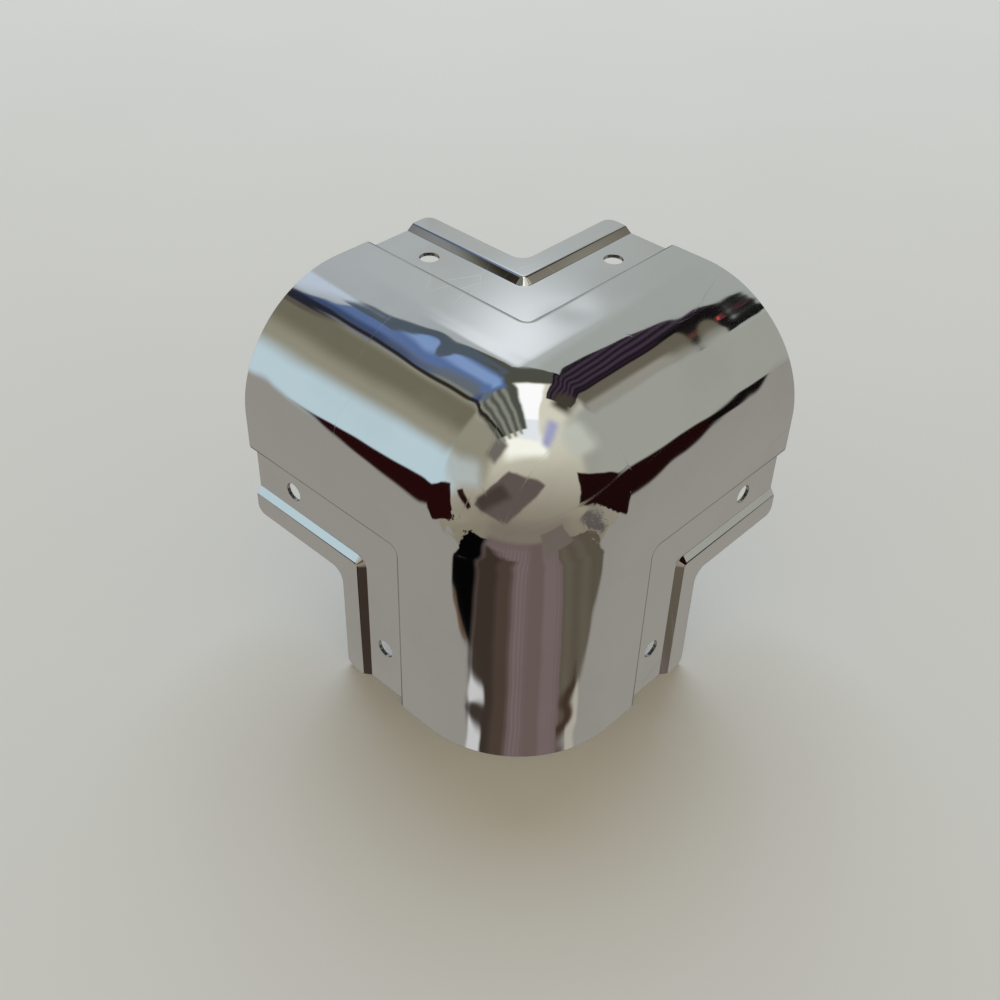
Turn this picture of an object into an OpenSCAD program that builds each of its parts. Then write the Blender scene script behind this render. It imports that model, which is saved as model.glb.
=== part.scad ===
// Three-way corner protector for a box with rounded edges, pressed from one chromed sheet.
// The origin is the centre of the ball corner, where the middle lines of the three rounded edges meet.
// The arms run towards -X, +Y and -Z, and the three faces look towards +X, -Y and +Z.

/* [Sheet] */
// Thickness of the sheet
sheet_t = 1.0; // [0.8:0.1:1.2]

/* [Corner] */
// Reach of each arm, from the outer face round the corner to the cut end
arm_reach = 100; // [90:1:140]
// Outer radius of the rounded edges and of the ball corner
edge_r = 33; // [20:1:38]

/* [Face] */
// Width of each face, from the outer face round the corner to the joggle
face_w = 43; // [40:0.5:52]
// Corner radius of the face where its joggled edge turns
face_corner_r = 3.6; // [3.4:0.1:12]

/* [Joggle] */
// Depth by which the flange lies below the face
joggle_depth = 2; // [1:0.1:2.4]
// Width of the slope from the face down to the flange
joggle_run = 3; // [2.6:0.1:3.2]
// Inside radius of the bends at the top and the foot of that slope
joggle_bend_r = 1; // [0.4:0.1:1.2]

/* [Strip] */
// Width of the flat strip that seats on the box and takes the screws
strip_w = 11.5; // [9:0.5:16]

/* [Lip] */
// Height of the lip above the strip
lip_rise = 1.5; // [0.8:0.1:2]
// Width of the slope from the strip up to the lip
lip_run = 2.7; // [2:0.1:2.9]
// Inside radius of the bends at the foot and the top of that slope
lip_bend_r = 0.4; // [0.2:0.1:0.6]
// Corner radius at the foot of the slope, where it turns
lip_corner_r = 3.3; // [3.2:0.1:6]
// Width of the flat lip
lip_w = 5.5; // [4:0.5:10]
// Radius of the free edge where it turns
lip_edge_r = 4; // [1:0.5:8]
// Radius of the corner at each end of the lip
lip_end_r = 2.5; // [0.5:0.5:3.5]

/* [Holes] */
// Diameter of the screw holes
hole_d = 5.2; // [4:0.1:6.5]
// Distance from the cut end of an arm to the centre of its holes
hole_end = 14.5; // [8:0.5:25]

/* [Hidden] */
$fn = 96;

// Distances from the outer face round the corner, across an arm
strip_start = face_w + joggle_run;
slope_start = strip_start + strip_w;
lip_start = slope_start + lip_run;
free_edge = lip_start + lip_w;
// Each step of the sheet reaches this far into the flats beside it
lap = 0.2;
// Facets on each pressed bend
bend_steps = 5;
// Past every edge, so that cuts run right through
past = 1;
// Turns that carry one face of the cap onto the next
TURNS = [[0, 0, 0], [90, 0, 90], [0, -90, -90]];

// Middle radius of the bends of a step, kept a little under what the step has room for
function step_bend(run, depth, inside_r) =
    min(inside_r + sheet_t / 2, 0.95 * (run * run + depth * depth) / (4 * depth));
// Angle through which each bend of middle radius r turns, with a straight slope between the two
function step_angle(run, depth, r) =
    let (straight = sqrt(run * run + depth * depth - 4 * r * depth))
        atan2(depth - 2 * r, run) + atan2(2 * r, straight);
// Points on an arc about a centre. Angle 0 points out of the box.
function bend_points(centre, r, from, to) =
    [for (i = [0 : bend_steps]) let (a = from + (to - from) * i / bend_steps) centre + r * [sin(a), -cos(a)]];
// One side of the sheet through a step: side is 1 for the upper surface and -1 for the lower one
function step_line(run, depth, inside_r, side) =
    let (r = step_bend(run, depth, inside_r), angle = step_angle(run, depth, r))
        concat(
            bend_points([0, sheet_t / 2 + r], r + side * sheet_t / 2, 0, angle),
            bend_points([run, depth + sheet_t / 2 - r], r - side * sheet_t / 2, 180 + angle, 180)
        );
function backwards(points) = [for (i = [len(points) - 1 : -1 : 0]) points[i]];

// Section of the sheet through a step of the given run and depth, with bends of one inside radius.
// X runs across the flange and Y into the box. The upper surface starts at Y = 0.
module step_section(run, depth, inside_r) {
    polygon(concat(
        [[-lap, 0]],
        step_line(run, depth, inside_r, 1),
        [[run + lap, depth], [run + lap, depth + sheet_t]],
        backwards(step_line(run, depth, inside_r, -1)),
        [[-lap, sheet_t]]
    ));
}

// The same step, but rising out of the box
module rising_section(run, rise, inside_r) {
    translate([0, sheet_t]) mirror([0, 1]) step_section(run, rise, inside_r);
}

// Sweeps a section along both legs of an L and round the corner between them.
// The section starts at the given distance from both outer faces.
module swept_step(start, corner_r) {
    for (swap = [0, 1])
        mirror([swap, -swap, 0])
            translate([start + corner_r, start, 0])
                rotate([90, 0, 90]) linear_extrude(arm_reach - start - corner_r) children();
    translate([start + corner_r, start + corner_r, 0])
        rotate_extrude(angle = 90, start = 180)
            translate([corner_r, 0]) mirror([1, 0]) children();
}

// All that lies further than the given distance from both outer faces, with its corner rounded
module beyond(start, corner_r) {
    difference() {
        translate([start, start]) square(2 * arm_reach);
        difference() {
            translate([start, start]) square(corner_r);
            translate([start + corner_r, start + corner_r]) circle(corner_r);
        }
    }
}

// Outline of a flat L between two such corners, as far as the cut ends of the arms
module flat_outline(start, start_r, finish, finish_r) {
    difference() {
        intersection() {
            square(arm_reach);
            beyond(start, start_r);
        }
        beyond(finish, finish_r);
    }
}

// Waste outside the rounded corner at the end of a lip
module lip_end_waste() {
    translate([arm_reach - lip_end_r, free_edge - lip_end_r]) difference() {
        square(lip_end_r + past);
        circle(lip_end_r);
    }
}

// Rounded edge along +X, between two faces
module rounded_edge() {
    translate([edge_r, 0, 0]) rotate([90, 0, 90]) linear_extrude(arm_reach - edge_r) intersection() {
        translate([-past, -past]) square(edge_r + past);
        translate([edge_r, edge_r]) difference() {
            circle(edge_r);
            circle(edge_r - sheet_t);
        }
    }
}

// Ball corner, an eighth of a hollow sphere
module ball_corner() {
    translate([edge_r, edge_r, edge_r]) rotate_extrude(angle = 90, start = 180) intersection() {
        translate([0, -edge_r - past]) square([edge_r + past, edge_r + past]);
        difference() {
            circle(edge_r);
            circle(edge_r - sheet_t);
        }
    }
}

// Flat face, between the rounded edges and the joggle
module face_plate() {
    linear_extrude(sheet_t) difference() {
        translate([edge_r, edge_r]) square(arm_reach - edge_r);
        beyond(face_w, face_corner_r);
    }
}

// Flange of one face: joggle, strip, slope and lip
module flange() {
    swept_step(face_w, face_corner_r) step_section(joggle_run, joggle_depth, joggle_bend_r);
    translate([0, 0, joggle_depth]) {
        linear_extrude(sheet_t)
            flat_outline(strip_start, face_corner_r - joggle_run, slope_start, lip_corner_r);
        swept_step(slope_start, lip_corner_r) rising_section(lip_run, lip_rise, lip_bend_r);
        translate([0, 0, -lip_rise]) linear_extrude(sheet_t) difference() {
            flat_outline(lip_start, lip_corner_r - lip_run, free_edge, lip_edge_r);
            lip_end_waste();
            mirror([1, -1]) lip_end_waste();
        }
    }
}

// The two holes of one face, midway across the strips and near the cut ends
module screw_holes() {
    across = (strip_start + slope_start) / 2;
    along = arm_reach - hole_end;
    for (at = [[along, across], [across, along]])
        translate([at[0], at[1], joggle_depth - past]) cylinder(d = hole_d, h = sheet_t + 2 * past);
}

module corner_cap() {
    color([0.78, 0.79, 0.81])
        rotate([0, 180, 0]) translate([-edge_r, -edge_r, -edge_r]) {
            ball_corner();
            for (turn = TURNS) rotate(turn) {
                rounded_edge();
                face_plate();
                difference() {
                    flange();
                    screw_holes();
                }
            }
        }
}

corner_cap();
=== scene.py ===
# %% [markdown]
# # A chromed corner protector
# This part is one sheet of steel, about a millimetre thick, pressed over the corner of a box and
# plated with bright chrome. Three faces meet at a ball corner. Each face ends in a flange that
# steps down onto the box, takes two screws and turns up again into a narrow lip.
# The lesson builds it in the order a press shop would: measure, draw the section of the flange,
# lay out one face, repeat it round the corner, give the sheet its thickness, then polish it.
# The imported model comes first, because every piece here has to fit it.

# %% Load the fixed frame
import math

import bpy
from mathutils import Matrix, Vector


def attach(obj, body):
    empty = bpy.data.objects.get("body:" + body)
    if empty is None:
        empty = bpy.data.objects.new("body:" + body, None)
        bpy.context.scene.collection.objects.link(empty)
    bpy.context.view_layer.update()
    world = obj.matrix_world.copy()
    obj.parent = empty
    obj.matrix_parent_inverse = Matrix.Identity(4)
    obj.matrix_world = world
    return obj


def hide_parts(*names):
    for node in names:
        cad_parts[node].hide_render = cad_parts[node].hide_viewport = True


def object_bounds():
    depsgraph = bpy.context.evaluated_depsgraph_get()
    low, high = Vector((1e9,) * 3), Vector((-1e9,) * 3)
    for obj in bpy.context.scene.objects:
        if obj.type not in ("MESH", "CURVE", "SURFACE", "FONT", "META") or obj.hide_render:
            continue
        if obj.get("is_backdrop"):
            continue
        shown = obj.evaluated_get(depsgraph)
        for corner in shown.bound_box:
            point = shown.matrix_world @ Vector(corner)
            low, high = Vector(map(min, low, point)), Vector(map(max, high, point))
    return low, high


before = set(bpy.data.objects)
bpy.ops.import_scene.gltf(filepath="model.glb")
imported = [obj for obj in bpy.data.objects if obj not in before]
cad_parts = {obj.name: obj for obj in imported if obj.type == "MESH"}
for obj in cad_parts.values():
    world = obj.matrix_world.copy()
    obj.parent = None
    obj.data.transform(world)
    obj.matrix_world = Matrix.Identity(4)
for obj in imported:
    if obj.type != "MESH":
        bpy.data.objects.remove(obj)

cad_low, cad_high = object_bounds()
print("Model box in mm:", [round(1000 * side) for side in cad_high - cad_low])

# %% [markdown]
# ## Sizes
# Blender works in metres, so millimetres are written with a factor. The frame gives the reach of
# the arms and the radius of the ball, since its origin is the centre of the ball. The rest are the
# driving sizes of the sheet, all measured across an arm from the outer face round the corner.

# %% Sizes of the pressing
MM = 0.001
edge_r = cad_high.x
arm_reach = cad_high.x - cad_low.x
sheet_t = 1.0 * MM
face_w = 43 * MM
face_corner_r = 3.6 * MM
joggle_run = 3 * MM
joggle_depth = 2 * MM
joggle_bend_r = 1 * MM
strip_w = 11.5 * MM
lip_run = 2.7 * MM
lip_rise = 1.5 * MM
lip_bend_r = 0.4 * MM
lip_corner_r = 3.3 * MM
lip_w = 5.5 * MM
lip_edge_r = 4 * MM
lip_end_r = 2.5 * MM
hole_r = 2.6 * MM
hole_end = 14.5 * MM

strip_start = face_w + joggle_run
slope_start = strip_start + strip_w
lip_start = slope_start + lip_run
free_edge = lip_start + lip_w
hole_across = (strip_start + slope_start) / 2
hole_along = arm_reach - hole_end
print(f"Arms reach {arm_reach / MM:.0f} mm, the free edge lies {free_edge / MM:.1f} mm across")

# %% [markdown]
# ## The section of the flange
# Seen at its cut end, the sheet steps down, runs flat and steps up again. A press leaves a small
# round bend at each end of a step. Points on those arcs make a smooth section, and guard points
# close to each bend keep the flat parts flat when the mesh is shaded smooth.
# Each row of points knows how far across it lies, how deep, and round which centre it turns at
# the inner corner of the flange.

# %% Points of the section
BEND_STEPS = 6
# Share of a step's room that its two bends may take up
BEND_ROOM = 0.95


def spread(start, end, steps):
    """Evenly spaced numbers from start to end, with both ends."""
    return [start + (end - start) * i / steps for i in range(steps + 1)]


def step_points(run, depth, inside_r, side):
    """One surface of the sheet through a step: side is 1 on top and -1 underneath."""
    radius = min(inside_r + sheet_t / 2, BEND_ROOM * (run**2 + depth**2) / (4 * depth))
    straight = math.sqrt(run**2 + depth**2 - 4 * radius * depth)
    turn = math.atan2(depth - 2 * radius, run) + math.atan2(2 * radius, straight)
    points = []
    for angle in spread(0, turn, BEND_STEPS):
        r = radius + side * sheet_t / 2
        points.append((r * math.sin(angle), sheet_t / 2 + radius - r * math.cos(angle)))
    centre = depth + sheet_t / 2 - radius
    for angle in spread(turn, 0, BEND_STEPS):
        r = radius - side * sheet_t / 2
        points.append((run - r * math.sin(angle), centre + r * math.cos(angle)))
    return points


def joggle_rows():
    """The step from the face down to the strip, seen from outside."""
    corner = face_w + face_corner_r
    points = step_points(joggle_run, joggle_depth, joggle_bend_r, 1)
    return [(face_w + x, y, corner) for x, y in points]


def lip_slope_rows():
    """The step back up to the lip, which is the other surface of the same kind of step."""
    corner = slope_start + lip_corner_r
    rows = []
    for x, y in step_points(lip_run, lip_rise, lip_bend_r, -1):
        rows.append((slope_start + x, joggle_depth + sheet_t - y, corner))
    return rows


print(f"The joggle has {len(joggle_rows())} points and the lip's slope {len(lip_slope_rows())}")

# %% [markdown]
# ## Rows across the flange
# One face is a grid. Its rows follow the section, from the middle of the rounded edge out to the
# free edge. A square block of the grid is left open for the screw hole, so the rows beside the
# hole are even.

# %% Rows of the grid
HOLE_STEPS = 14
STRIP_STEPS = 3
LIP_STEPS = 4
END_STEPS = 7
hole_block = 4.3 * MM
guard = 0.25 * MM


def strip_rows():
    """The flat strip, with guard rows by its bends and even rows beside the hole."""
    near = hole_across - hole_block
    far = hole_across + hole_block
    levels = [strip_start + guard]
    levels += spread(strip_start + 2 * guard, near, STRIP_STEPS)
    levels += spread(near, far, HOLE_STEPS)[1:]
    levels += spread(far, slope_start - 2 * guard, STRIP_STEPS)[1:]
    levels.append(slope_start - guard)
    first = face_w + face_corner_r
    last = slope_start + lip_corner_r
    return [(y, joggle_depth, first + (last - first) * (y - strip_start) / strip_w) for y in levels]


def lip_rows():
    """The flat lip. Its last rows follow the round corner at the lip's end."""
    depth = joggle_depth - lip_rise
    levels = [lip_start + guard]
    levels += spread(lip_start + 2 * guard, free_edge - lip_end_r, LIP_STEPS)
    for angle in spread(0, math.pi / 2, END_STEPS)[1:]:
        levels.append(free_edge - lip_end_r + lip_end_r * math.sin(angle))
    first = slope_start + lip_corner_r
    last = free_edge + lip_edge_r
    return [(y, depth, first + (last - first) * (y - lip_start) / lip_w) for y in levels]


flange_rows = joggle_rows() + strip_rows() + lip_slope_rows() + lip_rows()
print(f"{len(flange_rows)} rows from the edge of the face to the free edge")

# %% [markdown]
# ## Columns along the arm
# The columns run from the cut end of the arm to the diagonal of the face, where the other arm
# begins. Along the arm they stay square to it, so that the hole stays round. Past the hole they
# fan round the inner corner of the flange, each level on its own arc. On the face the fan
# straightens out again, and ends where the ball corner starts.

# %% Columns of the grid
END_COLUMNS = 9
LEG_COLUMNS = 26
FAN_COLUMNS = 12


def row_end(level):
    """Where a row ends along the arm: at the cut, or on the round corner of the lip."""
    past = level - (free_edge - lip_end_r)
    if past <= 0:
        return arm_reach
    return arm_reach - lip_end_r + math.sqrt(max(0, lip_end_r**2 - past**2))


def leg_columns(level, corner):
    """Distances along the arm on one row, from the cut end to where the corner starts."""
    near = hole_along + hole_block
    far = hole_along - hole_block
    places = spread(row_end(level), near, END_COLUMNS)
    places += spread(near, far, HOLE_STEPS)[1:]
    places += spread(far, corner, LEG_COLUMNS)[1:]
    return places


def flange_row(level, depth, corner):
    """A row on the flange: straight along the arm, then an eighth of a turn round the corner."""
    row = [(along, level, depth) for along in leg_columns(level, corner)]
    radius = corner - level
    for angle in spread(0, math.pi / 4, FAN_COLUMNS)[1:]:
        row.append((corner - radius * math.sin(angle), corner - radius * math.cos(angle), depth))
    return row


def face_row(level, depth, share):
    """A row on the face or the rounded edge. At share 1 the fan has become a straight line."""
    corner = face_w + face_corner_r
    row = [(along, level, depth) for along in leg_columns(level, corner)]
    for i, angle in enumerate(spread(0, math.pi / 4, FAN_COLUMNS)[1:], 1):
        curved_along = corner - face_corner_r * math.sin(angle)
        curved_across = corner - face_corner_r * math.cos(angle)
        straight_along = corner + (edge_r - corner) * i / FAN_COLUMNS
        straight_across = min(level, edge_r)
        along = curved_along + (straight_along - curved_along) * share
        across = curved_across + (straight_across - curved_across) * share
        row.append((along, across, depth))
    return row


print(f"{len(flange_row(*flange_rows[0]))} columns from the cut end to the diagonal")

# %% [markdown]
# ## One face of the cap
# Now the grid becomes a mesh. The class below turns distances from the outer faces into places in
# the frame, and it swaps two of them to draw the second arm as the mirror of the first.

# %% A blank to draw on
ROUND_STEPS = 22
PLATE_STEPS = 9


class Blank:
    """Collects the points and quads of the sheet's outer surface."""

    def __init__(self):
        self.points = []
        self.quads = []

    def point(self, place, swap):
        """Adds a point given by its distances along, across and below a face."""
        along, across, depth = place
        if swap:
            along, across = across, along
        self.points.append((edge_r - along, across - edge_r, edge_r - depth))
        return len(self.points) - 1

    def grid(self, rows, swap, is_open=None):
        """Joins rows of places with quads, apart from the cells that are open."""
        index = [[self.point(place, swap) for place in row] for row in rows]
        for i in range(len(rows) - 1):
            for j in range(len(rows[0]) - 1):
                if is_open and is_open(i, j):
                    continue
                quad = (index[i][j], index[i][j + 1], index[i + 1][j + 1], index[i + 1][j])
                self.quads.append(quad[::-1] if swap else quad)


def half_face_rows():
    """All rows of one arm's half of a face, from the middle of its rounded edge outwards."""
    rows = []
    for angle in spread(math.pi / 4, 0, ROUND_STEPS):
        across = edge_r - edge_r * math.sin(angle)
        depth = edge_r - edge_r * math.cos(angle)
        rows.append(face_row(across, depth, 1))
    for level in spread(edge_r, face_w - guard, PLATE_STEPS)[1:]:
        share = (face_w - level) / (face_w - edge_r)
        rows.append(face_row(level, 0, share))
    return rows + [flange_row(*row) for row in flange_rows]


rows = half_face_rows()
print(f"Half a face is a grid of {len(rows)} by {len(rows[0])} points")

# %% [markdown]
# The hole is a ring of quads between the open block and a circle. The share of the ball is a
# piece of a cube pushed out to a sphere. Its rows fall in with those of the rounded edges, so that
# no pole or triangle spoils a mirror finish.

# %% Screw holes and the ball corner
HOLE_RINGS = 4
first_hole_row = next(
    i for i, row in enumerate(rows) if abs(row[0][1] - hole_across + hole_block) < guard / 10
)


def in_hole_block(i, j):
    """True for the cells of the grid that the screw hole takes up."""
    return 0 <= i - first_hole_row < HOLE_STEPS and 0 <= j - END_COLUMNS < HOLE_STEPS


def hole_rings(rows):
    """Closed rings of places, from the border of the block to the edge of the hole."""
    top, bottom = first_hole_row, first_hole_row + HOLE_STEPS
    left, right = END_COLUMNS, END_COLUMNS + HOLE_STEPS
    border = [rows[top][j] for j in range(left, right)]
    border += [rows[i][right] for i in range(top, bottom)]
    border += [rows[bottom][j] for j in range(right, left, -1)]
    border += [rows[i][left] for i in range(bottom, top, -1)]
    rings = []
    for share in spread(0, 1, HOLE_RINGS):
        ring = []
        for k, (along, across, depth) in enumerate(border):
            angle = math.pi / 4 - 2 * math.pi * k / len(border)
            round_along = hole_along + hole_r * math.sin(angle)
            round_across = hole_across - hole_r * math.cos(angle)
            along += (round_along - along) * share
            across += (round_across - across) * share
            ring.append((along, across, depth))
        rings.append(ring + ring[:1])
    return rings


def ball_rows():
    """A third of the ball corner, evenly spaced in angle from the middle of the face."""
    rows = []
    for across_angle in spread(math.pi / 4, 0, ROUND_STEPS):
        row = []
        for along_angle in spread(0, math.pi / 4, ROUND_STEPS):
            way = Vector((math.tan(along_angle), math.tan(across_angle), 1)).normalized()
            row.append(tuple(edge_r - edge_r * part for part in way))
        rows.append(row)
    return rows


blank = Blank()
for swap in (False, True):
    blank.grid(rows, swap, in_hole_block)
    blank.grid(hole_rings(rows), swap)
blank.grid(ball_rows(), False)
face_mesh = bpy.data.meshes.new("one_face")
face_mesh.from_pydata(blank.points, [], blank.quads)
highest = max(face_mesh.polygons, key=lambda quad: quad.center.z)
print(f"One face has {len(face_mesh.polygons)} quads. Its plate faces z {highest.normal.z:+.0f}")

# %% [markdown]
# ## A helper for node trees
# Node trees are easier to read as sums than as boxes and lines. This class wraps a socket, so that
# an expression such as `1 - mask * 0.5` adds its Math nodes by itself. Its method `add` makes a
# node of any type, with its settings and what goes into its sockets. The last methods are short
# names for the nodes that come up often, where a vector or a colour needs a node of its own kind.

# %% Sums that build their own nodes
class Wire:
    """A socket of a node tree, which can be used in sums."""

    def __init__(self, tree, socket=None):
        self.tree = tree
        self.socket = socket

    def add(self, kind, settings=None, values=None, output=0):
        """Adds a node, sets it up, fills its sockets and returns one of its outputs."""
        node = self.tree.nodes.new(kind)
        for name, value in (settings or {}).items():
            setattr(node, name, value)
        for name, value in (values or {}).items():
            if isinstance(value, Wire):
                self.tree.links.new(value.socket, node.inputs[name])
            else:
                node.inputs[name].default_value = value
        return Wire(self.tree, node.outputs[output])

    def math(self, operation, *values):
        """Adds a Math node for numbers."""
        return self.add("ShaderNodeMath", {"operation": operation}, dict(enumerate(values)))

    def vector(self, operation, socket, value, output="Vector"):
        """Adds a Vector Math node for this vector and a value in the named or counted socket."""
        settings = {"operation": operation}
        return self.add("ShaderNodeVectorMath", settings, {0: self, socket: value}, output)

    def __add__(self, other):
        return self.math("ADD", self, other)

    def __radd__(self, other):
        return self.math("ADD", other, self)

    def __sub__(self, other):
        return self.math("SUBTRACT", self, other)

    def __rsub__(self, other):
        return self.math("SUBTRACT", other, self)

    def __mul__(self, other):
        return self.math("MULTIPLY", self, other)

    def __rmul__(self, other):
        return self.math("MULTIPLY", other, self)

    def __truediv__(self, other):
        return self.math("DIVIDE", self, other)

    def __rtruediv__(self, other):
        return self.math("DIVIDE", other, self)

    def __abs__(self):
        return self.math("ABSOLUTE", self)

    def smooth(self, low, high):
        """Eases from 0 at low to 1 at high."""
        settings = {"interpolation_type": "SMOOTHSTEP"}
        values = {"Value": self, "From Min": low, "From Max": high}
        return self.add("ShaderNodeMapRange", settings, values)

    def moved(self, step):
        """This vector with a step added."""
        return self.vector("ADD", 1, step)

    def scaled(self, factor):
        """This vector made longer or shorter."""
        return self.vector("SCALE", "Scale", factor)

    def dot(self, way):
        """How far this vector reaches along a direction."""
        return self.vector("DOT_PRODUCT", 1, way, "Value")

    def distance(self, place):
        """How far this point is from a place given in millimetres."""
        return self.vector("DISTANCE", 1, Vector(place) * MM, "Value")

    def blend(self, first, second):
        """A colour between two colours, with this mask as the factor."""
        factor, colour_a, colour_b, colour_out = 0, 6, 7, 2
        values = {factor: self, colour_a: first, colour_b: second}
        return self.add("ShaderNodeMix", {"data_type": "RGBA"}, values, colour_out)


print("Wire overloads + - * / and abs")

# %% [markdown]
# ## The finishes
# Chrome is a mirror, so most of its look comes from what stands round it. What belongs to the
# metal itself is subtle: a faint haze where it was handled, hairline scratches and tiny pits. They
# vary the roughness and tilt the surface by a hair. All patterns read Object coordinates, so they
# stay with the metal.

# %% Helpers for materials
def srgb(red, green, blue):
    """A screen colour, with parts from 0 to 255, in the linear values that Blender uses."""
    parts = []
    for value in (red, green, blue):
        share = value / 255
        parts.append(share / 12.92 if share <= 0.04045 else ((share + 0.055) / 1.055) ** 2.4)
    return (*parts, 1)


def new_material(name):
    """A material, the wire to build its tree with, and its Principled BSDF."""
    material = bpy.data.materials.new(name)
    material.use_nodes = True
    tree = material.node_tree
    tree.nodes.clear()
    shader = tree.nodes.new("ShaderNodeBsdfPrincipled")
    output = tree.nodes.new("ShaderNodeOutputMaterial")
    tree.links.new(shader.outputs["BSDF"], output.inputs["Surface"])
    return material, Wire(tree), shader


def stretched(coords, stretch):
    """Coordinates scaled along each axis, which draw a pattern out along the smallest."""
    return coords.add("ShaderNodeMapping", None, {"Vector": coords, "Scale": stretch})


def noise(coords, scale, detail=2):
    """Soft noise from 0 to 1, with scale in patches per metre."""
    values = {"Vector": coords, "Scale": scale, "Detail": detail}
    return coords.add("ShaderNodeTexNoise", None, values, "Fac")


def hairlines(coords, scale, width):
    """Thin broken lines, 1 on a scratch and 0 beside it."""
    values = {"Vector": coords, "Scale": scale}
    settings = {"feature": "DISTANCE_TO_EDGE"}
    line = 1 - coords.add("ShaderNodeTexVoronoi", settings, values, "Distance").smooth(0, width)
    return line * noise(coords, scale * 0.7).smooth(0.55, 0.68)


def bump(height, strength, depth, under=None):
    """A surface tilted by a pattern of heights, laid over another bump where one is given."""
    values = {"Height": height, "Strength": strength, "Distance": depth}
    if under:
        values["Normal"] = under
    return height.add("ShaderNodeBump", None, values)


def plug(shader, name, wire):
    """Joins a wire to one of the shader's sockets."""
    wire.tree.links.new(wire.socket, shader.inputs[name])


print("A mid grey in linear values:", round(srgb(128, 128, 128)[0], 3))

# %% Polished chrome
CHROME = (0.66, 0.67, 0.68, 1)
CHROME_HAZED = (0.60, 0.61, 0.62, 1)
POLISH = 0.035
HAZE_SHARE = 0.6
# Patches or cells in each metre of metal
HAZE_SCALE = 38
SCRATCH_SCALE = 90
MARK_SCALE = 45
PIT_SCALE = 420
# Marks are longer than scratches, and this noise bends them
MARK_BENDS_SCALE = 25
MARK_BENDS = 14 * MM

chrome, wires, shader = new_material("polished_chrome")
coords = wires.add("ShaderNodeTexCoord", None, None, "Object")
haze = noise(coords, HAZE_SCALE, 4).smooth(0.45, 0.75)
scratches = hairlines(stretched(coords, (1, 0.35, 0.2)), SCRATCH_SCALE, 0.012)
values = {"Vector": coords, "Scale": MARK_BENDS_SCALE}
bends = coords.add("ShaderNodeTexNoise", None, values, "Color")
bent = coords.moved(bends.scaled(MARK_BENDS))
marks = hairlines(stretched(bent, (1, 0.6, 0.12)), MARK_SCALE, 0.006)
values = {"Vector": coords, "Scale": PIT_SCALE}
pit_cells = coords.add("ShaderNodeTexVoronoi", None, values, "Distance")
pits = (1 - pit_cells.smooth(0.02, 0.07)) * noise(coords, 60).smooth(0.6, 0.7)
roughness = POLISH + haze * 0.008 + scratches * 0.2 + marks * 0.12 + pits * 0.1
shader.inputs["Metallic"].default_value = 1
plug(shader, "Base Color", (haze * HAZE_SHARE).blend(CHROME, CHROME_HAZED))
plug(shader, "Roughness", roughness)
print("The chrome has haze, scratches, marks and pits")

# %% [markdown]
# The ball has two feet, where it runs out into the plates left and right of the low arm, and the
# metal is crumpled there. The crumples are finer than the mesh, so they are a bump of noise that
# fades out round each foot. The scratches, marks and pits are a second, shallower bump over it.

# %% Crumples and scratches in the chrome
# Places in millimetres
BALL_FEET = {"left of the ball": (8, -31, 6.5), "right of the ball": (30, -10, 7)}
CRUMPLE_CORE = 1 * MM
CRUMPLE_REACH = 6 * MM
CRUMPLE_SCALE = 450
CRUMPLE_DEPTH = 0.11 * MM
SCRATCH_DEPTH = 0.02 * MM

crumpled = 0
for place in BALL_FEET.values():
    crumpled = 1 - coords.distance(place).smooth(CRUMPLE_CORE, CRUMPLE_REACH) + crumpled
crumples = bump(noise(coords, CRUMPLE_SCALE, 3) * crumpled, 1, CRUMPLE_DEPTH)
relief = 1 - scratches * 0.6 - marks * 0.1 - pits
plug(shader, "Normal", bump(relief, 0.25, SCRATCH_DEPTH, crumples))
print("Crumples", " and ".join(BALL_FEET), "in a tree of", len(chrome.node_tree.nodes), "nodes")

# %% [markdown]
# The inside of a pressing isn't polished before it is plated, so it is duller and shows the grain
# of the rolled sheet. The cut edges have fine tear marks across the sheet, and their dark tone is
# painted shade, standing in for the shadow inside the screw holes.

# %% Plated inside and cut edges
INSIDE_PALE, INSIDE_DARK = (0.50, 0.50, 0.49, 1), (0.40, 0.40, 0.39, 1)
# Both cut edge colours are kept dark as painted shade for the screw holes; the tear marks vary them
SHADED_CUT_PALE, SHADED_CUT_DARK = (0.46, 0.46, 0.46, 1), (0.32, 0.32, 0.32, 1)
INSIDE_ROUGHNESS = 0.26
CUT_ROUGHNESS = 0.16
GRAIN_DEPTH = 0.03 * MM

inside, wires, shader = new_material("plated_inside")
coords = wires.add("ShaderNodeTexCoord", None, None, "Object")
grain = noise(stretched(coords, (1, 0.06, 0.06)), 1400, 3)
cloud = noise(coords, 45, 4).smooth(0.35, 0.7)
shader.inputs["Metallic"].default_value = 1
plug(shader, "Base Color", cloud.blend(INSIDE_PALE, INSIDE_DARK))
plug(shader, "Roughness", INSIDE_ROUGHNESS + cloud * 0.1 + grain * 0.08)
plug(shader, "Normal", bump(grain, 0.3, GRAIN_DEPTH))

cut_edge, wires, shader = new_material("cut_edge")
coords = wires.add("ShaderNodeTexCoord", None, None, "Object")
tears = noise(coords, 2600, 3)
shader.inputs["Metallic"].default_value = 1
plug(shader, "Base Color", tears.blend(SHADED_CUT_PALE, SHADED_CUT_DARK))
plug(shader, "Roughness", CUT_ROUGHNESS + tears * 0.12)
plug(shader, "Normal", bump(tears, 0.2, GRAIN_DEPTH))
print("Materials:", [material.name for material in (chrome, inside, cut_edge)])

# %% [markdown]
# ## Three faces from one
# The cap looks the same from three sides, so one face is enough to draw. A Geometry Nodes tree
# turns copies of it about the diagonal of the corner and welds them. It also adds what the press
# did to the metal: a faint ridge where each arm runs into the ball, because the sheet is drawn
# there in two directions, shallow waves on the rounded edges, puckers where the ball runs out into
# two faces, and a few dents. All are about a tenth of a millimetre, but a mirror shows them.
# The tree's inputs carry plain names. A modifier knows them by keys, which are kept for later.

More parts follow.
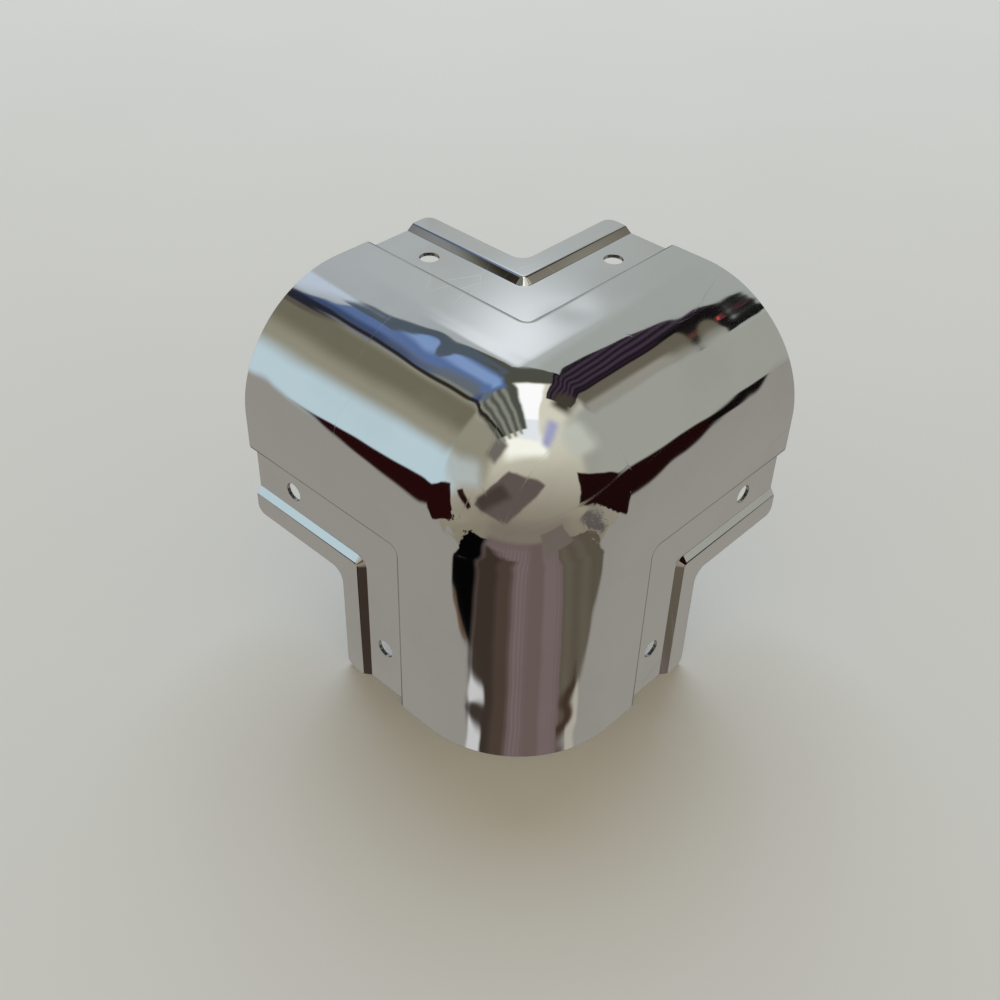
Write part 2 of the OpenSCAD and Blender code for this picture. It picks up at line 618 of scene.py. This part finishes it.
# %% The tree that repeats and presses
DIAGONAL = Vector((1, -1, 1)).normalized()
INPUTS = {
    "One face": "Geometry",
    "Faces": "Int",
    "Weld": "Float",
    "Edge radius": "Float",
    "Ridge height": "Float",
    "Ridge width": "Float",
    "Wave height": "Float",
    "Wave size": "Float",
    "Pucker height": "Float",
    "Pucker size": "Float",
    "Dent depth": "Float",
    "Seed": "Float",
    "Finish": "Material",
}

pressing = bpy.data.node_groups.new("three_fold_pressing", "GeometryNodeTree")
pressing.interface.new_socket("Cap", in_out="OUTPUT", socket_type="NodeSocketGeometry")
keys = {}
for name, kind in INPUTS.items():
    kind = "NodeSocket" + kind
    keys[name] = pressing.interface.new_socket(name, in_out="INPUT", socket_type=kind).identifier
entry = pressing.nodes.new("NodeGroupInput")
given = {name: Wire(pressing, entry.outputs[name]) for name in keys}
wires = Wire(pressing)

turn = wires.add("GeometryNodeInputIndex") * (math.tau / 3)
rotation = wires.add("FunctionNodeAxisAngleToRotation", None, {"Axis": DIAGONAL, "Angle": turn})
places = wires.add("GeometryNodeMeshLine", None, {"Count": given["Faces"], "Offset": (0, 0, 0)})
copies = {"Points": places, "Instance": given["One face"], "Rotation": rotation}
sheet = wires.add("GeometryNodeInstanceOnPoints", None, copies)
sheet = wires.add("GeometryNodeRealizeInstances", None, {"Geometry": sheet})
welding = {"Geometry": sheet, "Distance": given["Weld"]}
sheet = wires.add("GeometryNodeMergeByDistance", None, welding)
print("The tree turns one face", round(math.degrees(math.tau / 3)), "degrees at a time")

# %% [markdown]
# Each point knows how far out it lies towards the three faces, counted in edge radii, and that
# says where the metal is round. A ridge follows each line where an arm meets the ball. The waves
# are soft noise, shifted by the seed, and fade out towards the flat plates.

# %% Ridges and waves
ROUND_FROM = 0.6

position = wires.add("GeometryNodeInputPosition")
normal = wires.add("GeometryNodeInputNormal")
out = {
    "x": position.dot((1, 0, 0)) / given["Edge radius"],
    "y": position.dot((0, -1, 0)) / given["Edge radius"],
    "z": position.dot((0, 0, 1)) / given["Edge radius"],
}


def arm_roundness(first, second):
    """1 in the middle of the rounded edge between two faces, and 0 past either of its ends."""
    return (out[first].smooth(0, ROUND_FROM) * out[second].smooth(0, ROUND_FROM)).smooth(0, 1)


def bell(distance, width):
    """1 at no distance, falling off softly over the width."""
    share = distance / width
    return wires.math("EXPONENT", share * share * -1)


def spot(place, reach):
    """1 at a place given in millimetres, falling off softly within reach of it."""
    return bell(position.distance(place), reach * MM)


ridge_share = given["Ridge width"] / given["Edge radius"]
ridges = roundness = 0
for own, first, second in (("x", "y", "z"), ("y", "x", "z"), ("z", "x", "y")):
    is_round = arm_roundness(first, second)
    ridges = bell(out[own], ridge_share) * is_round + ridges
    roundness = is_round + roundness
shift = wires.add("ShaderNodeCombineXYZ", None, {"X": given["Seed"]})
shifted = position.moved(shift)
waves = noise(shifted, 1 / given["Wave size"], 0) * 2 - 1
print("Ridges and waves have", len(pressing.nodes), "nodes so far")

# %% [markdown]
# Puckers and dents belong to this one pressing, so their places are listed by name, in millimetres
# and each with its reach. On the right the arm runs smoothly into the ball, so a calm spot takes
# the ridge away there.

# %% Puckers and dents
PUCKER_REACH = 6
CALM_PLACE, CALM_REACH = (29, 2, 14), 11
# Added to the waves, so that the ridge varies but mostly stays proud
RIDGE_BASE = 0.7
DENTED = {
    "shoulder of the left arm": ((-20.6, -10.2, 31.4), 3.5),
    "shoulder of the right arm": ((-8, 24, 32), 6),
    "left side of the low arm": ((12, -31, -48), 5),
    "ball, towards the left arm": ((9, -22, 23), 5),
    "ball, towards the right arm": ((24, -8, 21), 5),
}
puckered = dents = 0
for place in BALL_FEET.values():
    puckered = spot(place, PUCKER_REACH) + puckered
for place, reach in DENTED.values():
    dents = spot(place, reach) + dents
calm = spot(CALM_PLACE, CALM_REACH)
ridges = ridges * (waves + RIDGE_BASE) * (1 - calm)
puckers = (noise(shifted, 1 / given["Pucker size"], 1) * 2 - 1) * puckered
lift = ridges * given["Ridge height"] + waves * roundness * given["Wave height"]
lift = lift + puckers * given["Pucker height"] - dents * given["Dent depth"]
pressed = {"Geometry": sheet, "Offset": normal.scaled(lift)}
sheet = wires.add("GeometryNodeSetPosition", None, pressed)
sheet = wires.add("GeometryNodeSetShadeSmooth", None, {"Geometry": sheet})
sheet = wires.add("GeometryNodeRealizeInstances", None, {"Geometry": sheet})
plated = {"Geometry": sheet, "Material": given["Finish"]}
sheet = wires.add("GeometryNodeSetMaterial", None, plated)
leaving = pressing.nodes.new("NodeGroupOutput")
pressing.links.new(sheet.socket, leaving.inputs[0])
print("Dented places:", ", ".join(DENTED))
print("The tree has", len(pressing.nodes), "nodes")

# %% [markdown]
# The modifier's inputs are set by their keys before Blender looks at the object. The result is
# then copied out as a plain mesh, so that nothing later depends on the tree.

# %% Press the sheet
def baked(obj, name):
    """The object with its modifiers applied, as a new object at the origin."""
    bpy.context.view_layer.update()
    evaluated = obj.evaluated_get(bpy.context.evaluated_depsgraph_get())
    mesh = bpy.data.meshes.new_from_object(evaluated)
    mesh.name = name
    result = bpy.data.objects.new(name, mesh)
    bpy.context.scene.collection.objects.link(result)
    bpy.data.objects.remove(obj)
    return result


one_face = bpy.data.objects.new("one_face", face_mesh)
bpy.context.scene.collection.objects.link(one_face)
modifier = one_face.modifiers.new("pressing", "NODES")
modifier.node_group = pressing
settings = {
    "Faces": 3,
    "Weld": 0.002 * MM,
    "Edge radius": edge_r,
    "Ridge height": 0.14 * MM,
    "Ridge width": 1.6 * MM,
    "Wave height": 0.08 * MM,
    "Wave size": 12 * MM,
    "Pucker height": 0.3 * MM,
    "Pucker size": 4 * MM,
    "Dent depth": 0.1 * MM,
    "Seed": 5.0,
    "Finish": chrome,
}
for name, value in settings.items():
    modifier[keys[name]] = value
surface = baked(one_face, "outer_surface")
print(f"The outer surface has {len(surface.data.polygons)} quads")

# %% [markdown]
# ## Thickness
# Solidify thickens the sheet inwards, since the sizes belong to its outer surface, and gives the
# inside and the cut edges their own finishes. A small bevel takes the knife edge off the cuts. It
# keeps the normals of the flat parts, so that a plate still mirrors like a plate.

# %% Thicken the sheet and break its edges
broken_edge = 0.14 * MM
SHARP_FROM = math.radians(50)
surface.data.materials.append(inside)
surface.data.materials.append(cut_edge)
solidify = surface.modifiers.new("thickness", "SOLIDIFY")
solidify.thickness = sheet_t
solidify.offset = -1
solidify.use_even_offset = True
solidify.use_quality_normals = True
solidify.material_offset = 1
solidify.material_offset_rim = 2
bevel = surface.modifiers.new("broken_edges", "BEVEL")
bevel.width = broken_edge
bevel.segments = 2
bevel.limit_method = "ANGLE"
bevel.angle_limit = SHARP_FROM
bevel.harden_normals = True
cap = baked(surface, "pressed_cap")
triangles = sum(len(face.vertices) - 2 for face in cap.data.polygons)
print(f"The cap has {triangles} triangles")
print("It fills", [round(side / MM, 2) for side in cap.dimensions], "mm")

# %% [markdown]
# ## Join the frame
# The cap is one rigid piece, so it rides on the frame's only body and stands in for its one node.

# %% Put the cap in the frame's place
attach(cap, "root")
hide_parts("corner_cap")

# %% [markdown]
# ## The camera
# The camera looks almost straight down the diagonal of the corner, a little from above, so that
# the three arms spread evenly. Its place is given as a distance and angles about a point close to
# the ball's centre, which is easier to adjust than three coordinates.

# %% Camera
camera_aim = Vector((-1.4, -7.1, -5.2)) * MM
camera_distance = 311.4 * MM
camera_azimuth = math.radians(42.4)
camera_elevation = math.radians(39.57)
camera_roll = math.radians(1.89)
camera_lens = 45.97
camera_sensor = 36

back = Vector((
    math.sin(camera_azimuth) * math.cos(camera_elevation),
    -math.cos(camera_azimuth) * math.cos(camera_elevation),
    math.sin(camera_elevation),
))
level_right = Vector((math.cos(camera_azimuth), math.sin(camera_azimuth), 0))
level_up = back.cross(level_right)
right = level_right * math.cos(camera_roll) + level_up * math.sin(camera_roll)
up = back.cross(right)
camera_data = bpy.data.cameras.new("camera")
camera_data.lens = camera_lens
camera_data.sensor_width = camera_sensor
camera = bpy.data.objects.new("camera", camera_data)
turned = Matrix((right, up, back)).transposed().to_4x4()
camera.matrix_world = Matrix.Translation(camera_aim + back * camera_distance) @ turned
bpy.context.scene.collection.objects.link(camera)
bpy.context.scene.camera = camera
print("Camera stands at", [round(part / MM) for part in camera.location], "mm")

# %% [markdown]
# ## The floor
# A wide pale floor lies under the lowest point of the cap. It carries a faint unevenness, like
# painted board. The backdrop past its rim has nearly its colour, so that the horizon hardly shows.
# Mirror rays don't see the floor, since the studio round the chrome has a table of its own.

# %% Floor
FLOOR_DARK = srgb(206, 206, 203)
FLOOR_PALE = srgb(210, 210, 207)
BACKDROP_COLOUR = srgb(214, 213, 208)
floor_r = 4.0

floor_mesh = bpy.data.meshes.new("floor")
corners = [(x, y, cad_low.z) for x, y in ((-1, -1), (1, -1), (1, 1), (-1, 1))]
floor_mesh.from_pydata([(x * floor_r, y * floor_r, z) for x, y, z in corners], [], [(0, 1, 2, 3)])
floor = bpy.data.objects.new("floor", floor_mesh)
bpy.context.scene.collection.objects.link(floor)
floor.visible_glossy = False
floor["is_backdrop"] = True

paint, wires, shader = new_material("floor_paint")
coords = wires.add("ShaderNodeTexCoord", None, None, "Object")
mottle = noise(coords, 9, 3)
plug(shader, "Base Color", mottle.blend(FLOOR_DARK, FLOOR_PALE))
shader.inputs["Roughness"].default_value = 0.9
shader.inputs["Specular IOR Level"].default_value = 0.1
floor_mesh.materials.append(paint)
print(f"The floor lies at {cad_low.z / MM:.0f} mm")

# %% [markdown]
# ## The studio round the chrome
# A mirror-bright part is lit by its surroundings. A photographer stands cards round it: white and
# cream ones to brighten it, black and coloured ones to draw its edges. Here the cards are painted
# into the world, each as a flat rectangle seen from the part, and only mirror rays see them.
# Directions are counted about the diagonal of the corner: azimuth clockwise from the top of the
# picture, and elevation up from the plane square to that diagonal. A little noise makes them
# waver, so that no card has a ruler's edge.

# %% Directions for the cards
WAVER = 0.05
WAVER_SCALE = 4.5
room_right = (right - DIAGONAL * right.dot(DIAGONAL)).normalized()
room_top = DIAGONAL.cross(room_right)

world = bpy.data.worlds.new("studio")
bpy.context.scene.world = world
world.use_nodes = True
world.node_tree.nodes.clear()
wires = Wire(world.node_tree)
way = wires.add("ShaderNodeTexCoord", None, None, "Generated")
values = {"Vector": way, "Scale": WAVER_SCALE, "Detail": 2}
waver = way.add("ShaderNodeTexNoise", None, values, "Color").moved((-0.5, -0.5, -0.5))
way = way.moved(waver.scaled(WAVER))


def room_way(azimuth, elevation):
    """The direction of a place in the studio, from its azimuth and elevation in degrees."""
    a, e = math.radians(azimuth), math.radians(elevation)
    level = room_top * math.cos(a) + room_right * math.sin(a)
    return level * math.cos(e) + DIAGONAL * math.sin(e)


def card(behind, azimuth, elevation, width, height, colour,
         edge=2, tilt=0, taper=0, slant=0, folds=0, depth=0.6):
    """A card in front of what is behind it. Its sizes, tilt and soft edge are in degrees.

    Taper makes it narrower towards the top, and slant draws it up towards its right side.
    Folds hang down it like those of a curtain, and let through what is behind it.
    """
    middle = room_way(azimuth, elevation)
    across = room_way(azimuth + 90, 0)
    upward = middle.cross(across) * -1
    spin = Matrix.Rotation(math.radians(tilt), 3, middle)
    across, upward = spin @ across, spin @ upward
    soft = math.tan(math.radians(edge))
    half_w = math.tan(math.radians(width / 2))
    half_h = math.tan(math.radians(height / 2))
    facing = way.dot(middle)
    x = way.dot(across) / facing
    y = way.dot(upward) / facing
    if slant:
        y = y - x * slant
    if taper:
        x = x / (1 - y * (taper / half_h))
    mask = 1 - abs(x).smooth(half_w - soft / 2, half_w + soft / 2)
    mask = mask * (1 - abs(y).smooth(half_h - soft / 2, half_h + soft / 2))
    mask = mask * facing.smooth(0, 0.1)
    if folds:
        waves = wires.math("SINE", x * (folds * math.pi / half_w)) * 0.5 + 0.5
        mask = mask * (1 - waves * depth)
    return mask.blend(behind, colour)


def shown(red, green, blue):
    """What a card sends out for the chrome to show this screen colour."""
    return (*(part / metal for part, metal in zip(srgb(red, green, blue)[:3], CHROME)), 1)


def hang(room, cards):
    """Hangs named cards in the room, each in front of the ones before it."""
    for azimuth, elevation, width, height, colour, options in cards.values():
        room = card(room, azimuth, elevation, width, height, shown(*colour), **options)
    print(len(cards), "cards:", ", ".join(cards))
    return room


print("The top of the room lies towards", [round(part, 2) for part in room_top])

# %% [markdown]
# Each card is one row: the azimuth and elevation of its middle, its width and height, the screen
# colour that the chrome shows, and its options. The walls are large cards with soft edges in
# front of a plain ceiling. Below the plane of the arms lies the table, which the plates mirror.

# %% Walls and table
TABLE_NEAR = shown(142, 139, 133)
TABLE_FAR = shown(166, 171, 170)
CAP_SHADOW_ON_TABLE = shown(74, 72, 66)
CEILING_NEAR = shown(128, 121, 106)
CEILING_FAR = shown(206, 203, 185)
WALLS = {
    "left wall": (-64, 24, 52, 66, (140, 137, 120), {"edge": 18}),
    "left wall, low": (-46, 10, 22, 26, (106, 103, 87), {"edge": 14}),
    "pale blue card": (-87, 10, 28, 34, (180, 200, 208), {"edge": 14}),
    "right wall": (66, 16, 54, 48, (152, 154, 146), {"edge": 14}),
    "pale card above it": (-86, 36, 20, 26, (172, 180, 178), {"edge": 12}),
    "right wall, low": (38, 6, 20, 16, (98, 93, 80), {"edge": 11, "taper": 0.35}),
    "pale spot beside it": (44.5, 9.5, 7, 6, (142, 140, 130), {"edge": 4}),
    "right wall, high": (54, 38, 26, 20, (184, 187, 175), {"edge": 12}),
    "cream card": (82, 34, 18, 14, (152, 152, 143), {"edge": 8}),
    "bright ceiling": (-6, 65, 34, 17, (242, 243, 230), {"edge": 10}),
    "low ceiling": (178, 38, 60, 26, (120, 112, 100), {"edge": 16}),
}
raised = way.dot(DIAGONAL)
topward = way.dot(room_top)
table = topward.smooth(0, 0.8).blend(TABLE_NEAR, TABLE_FAR)
# Straight below the cap the table darkens into a painted shadow of the cap, which the plates mirror
table = raised.smooth(-0.85, -0.55).blend(CAP_SHADOW_ON_TABLE, table)
ceiling = topward.smooth(-0.8, 0.8).blend(CEILING_NEAR, CEILING_FAR)
room = raised.smooth(-0.05, 0.02).blend(table, hang(ceiling, WALLS))

# %% [markdown]
# At the top of the picture the two upper arms mirror a window between two curtains, with a rail
# below it. The window is the bright patch above the ball, and the curtains are the streaks that
# run out along both arms.

# %% The side with the window
WINDOW_SIDE = {
    "rail": (3, -3, 40, 20, (74, 76, 68), {"edge": 3}),
    "pale blind": (2, 49, 15, 22, (222, 227, 231), {"edge": 5}),
    "window": (3, 25.5, 16, 35, (250, 250, 250), {"edge": 2.5, "taper": 0.2}),
    "top of the curtain": (-50, 56, 15, 11, (106, 102, 95), {"edge": 5}),
    "curtain": (-21, 22, 29, 62, (74, 77, 68), {"edge": 3, "taper": -0.05}),
    "its folds": (-24, 34, 24, 46, (130, 132, 122), {"edge": 4, "folds": 4, "depth": 0.95}),
    "blue cloth": (-24, 4, 24, 14, (86, 108, 150), {"edge": 4}),
    "indigo shade": (-32, 5.5, 7, 9, (58, 72, 104), {"edge": 4}),
    "blue sheen": (-17.5, 2, 7, 9, (122, 148, 190), {"edge": 4}),
    "grey fold": (-26, 12, 9, 9, (96, 103, 110), {"edge": 5}),
    "shade beside the curtain": (-39, 4.5, 5, 9, (84, 80, 70), {"edge": 2}),
    "curtain's edge": (-34.3, 28, 2.6, 48, (40, 36, 28), {"edge": 1.5}),
    "foot of the curtain": (-35, 4.6, 6, 4.5, (34, 37, 48), {"edge": 1.5, "slant": -0.5}),
    "dark curtain": (24.5, 2, 19, 40, (18, 13, 17), {"edge": 1}),
    "its purple folds": (24, 8, 16, 27, (62, 50, 64), {"edge": 4, "folds": 5, "depth": 0.85}),
    "its olive top": (28, 21, 13, 14, (64, 60, 50), {"edge": 8}),
    "lilac sheen": (27, 50, 8, 22, (156, 158, 190), {"edge": 7}),
    "dark rail": (42, 2.8, 20, 3, (18, 15, 16), {"edge": 0.1, "slant": 0.24}),
    "red cloth": (41, 3, 3.6, 1.4, (84, 42, 48), {"edge": 0.2, "slant": 0.3}),
    "red tab": (41, 3.3, 2, 0.4, (208, 84, 60), {"edge": 0.2, "slant": 0.45}),
}
room = hang(room, WINDOW_SIDE)

# %% [markdown]
# The lower half of the picture mirrors two maroon cards beside the ball, a black one, and the
# folds of two cloths, which run down the low arm as stripes. The brown cards overhead are the
# dark patches on the ball.

# %% The other sides
LOW_SIDES = {
    "right maroon card": (101.5, 20, 25, 50, (27, 8, 8), {"edge": 1.5, "slant": -0.4}),
    "its near corner": (90, -1, 6.5, 3, (12, 8, 7), {"edge": 1, "slant": -0.3}),
    "left maroon card": (-107, 8, 21, 24.5, (34, 9, 10), {"edge": 1.5, "slant": 0.36}),
    "dark card behind it": (-110, 30.5, 15, 5, (36, 14, 13), {"edge": 1.5}),
    "black card": (-144, 10, 14, 31, (4, 4, 4), {"edge": 1.5, "slant": -0.5}),
    "mauve cloth": (-178, 14, 56, 38, (105, 92, 90), {"edge": 6}),
    "its fine folds": (-178, 12, 48, 30, (113, 100, 99), {"edge": 4, "folds": 21, "depth": 1}),
    "its fold": (172, 14, 12, 36, (100, 87, 84), {"edge": 6}),
    "its pale fold": (164, 14, 7, 36, (111, 98, 97), {"edge": 4}),
    "brown fold": (-158, 9, 16, 26, (56, 47, 41), {"edge": 5}),
    "second brown fold": (-168, 9, 10, 24, (72, 60, 53), {"edge": 6}),
    "olive fold": (145, 9.5, 22, 34, (84, 78, 67), {"edge": 2, "slant": 0.42}),
    "its creases": (
        146, 9.5, 19, 33, (93, 86, 75), {"edge": 3, "slant": 0.42, "folds": 2, "depth": 0.9}
    ),
    "dark hem": (152, -3.5, 10, 2, (62, 47, 38), {"edge": 1.5, "slant": 0.42}),
    "grey cloth": (124, 18, 12, 26, (90, 84, 82), {"edge": 5}),
    "white card": (-154.5, -3.8, 7, 6, (192, 193, 192), {"edge": 2, "slant": -0.4}),
    "brown strip": (-143, -6, 9, 0.6, (96, 72, 56), {"edge": 0.5, "slant": -0.5}),
    "pale strip": (149, -7, 6, 2.5, (168, 164, 152), {"edge": 1.5, "slant": 0.4}),
    "brown card overhead": (-135, 66, 31, 46, (92, 82, 77), {"edge": 3, "slant": -0.35}),
    "its dark half": (-122, 56, 14, 30, (68, 58, 53), {"edge": 8}),
    "small brown card": (155.5, 31, 20, 20, (106, 97, 91), {"edge": 1.5}),
}
room = hang(room, LOW_SIDES)

# %% [markdown]
# The far edge of the table borders the streaks on the two upper arms. There a single degree of the
# room is drawn out over several millimetres of metal, so these cards need edges of less than one.
# The papers are the pale patches in the upper plate.

# %% What lies on the table
TABLE_TOP = {
    "table at the far left": (-33, -16, 38, 38, (162, 167, 169), {"edge": 0.4, "slant": -0.33}),
    "table at the left": (-11, -25.7, 26, 38, (162, 167, 169), {"edge": 0.6, "slant": -0.53}),
    "shade above the table": (-15.5, -3, 16, 3.4, (76, 86, 96), {"edge": 0.8, "slant": -0.45}),
    "table at the right": (29, -21.4, 54, 38, (155, 159, 155), {"edge": 0.2, "slant": 0.36}),
    "end of the rail": (48, 4.5, 7, 1.5, (16, 16, 15), {"edge": 0.1, "slant": 0.2}),
    "pale paper": (3, -19, 10, 17, (166, 171, 171), {"edge": 6}),
    "white paper": (0, -18, 4, 14, (218, 223, 227), {"edge": 4, "tilt": -36}),
    "blue paper": (-25, -3.2, 11, 5, (182, 194, 208), {"edge": 2.5, "slant": -0.4}),
}
room = hang(room, TABLE_TOP)
print("The studio has", len(world.node_tree.nodes), "nodes")

# %% [markdown]
# ## Light
# The rest of the world is a plain warm fill. One broad, cooler lamp overhead gives the floor its
# soft shadow. It is kept out of the mirror rays, where the cards do its work.

# %% Fill light, backdrop and lamp
FILL_COLOUR = (0.57, 0.50, 0.38, 1)
LAMP_COLOUR = (0.66, 0.81, 1.0)
LAMP_WATTS = 31
lamp_size = 2.0
lamp_distance = 2.0
is_camera = wires.add("ShaderNodeLightPath", None, None, "Is Camera Ray")
is_glossy = wires.add("ShaderNodeLightPath", None, None, "Is Glossy Ray")
is_glass = wires.add("ShaderNodeLightPath", None, None, "Is Transmission Ray")
mirrored = wires.math("MAXIMUM", is_glossy, is_glass)
fill = is_camera.blend(FILL_COLOUR, BACKDROP_COLOUR)
plain = wires.add("ShaderNodeBackground", None, {"Color": fill})
studio = wires.add("ShaderNodeBackground", None, {"Color": room})
seen = wires.add("ShaderNodeMixShader", None, {0: mirrored, 1: plain, 2: studio})
output = world.node_tree.nodes.new("ShaderNodeOutputWorld")
world.node_tree.links.new(seen.socket, output.inputs["Surface"])

lamp_data = bpy.data.lights.new("overhead", "AREA")
lamp_data.shape = "DISK"
lamp_data.size = lamp_size
lamp_data.energy = LAMP_WATTS
lamp_data.color = LAMP_COLOUR
lamp = bpy.data.objects.new("overhead", lamp_data)
lamp_way = Vector((-0.6, 0.6, 1)).normalized()
lamp.location = lamp_way * lamp_distance
lamp.rotation_euler = lamp_way.to_track_quat("Z", "Y").to_euler()
lamp.visible_glossy = False
bpy.context.scene.collection.objects.link(lamp)
bpy.context.scene.view_settings.view_transform = "Standard"
print("Lamp at", [round(part, 2) for part in lamp.location], "m")

# %% [markdown]
# ## Check the size
# The finished model has to stay in the box of the imported one, so the corners of both boxes are
# compared.
# The finished model has to stay in the box of the imported one, so both boxes are written down.

# %% Compare the boxes and finish
low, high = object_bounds()
drift = max((low - cad_low).length, (high - cad_high).length)
print(f"The corners of the two boxes lie within {drift / MM:.3f} mm of each other")
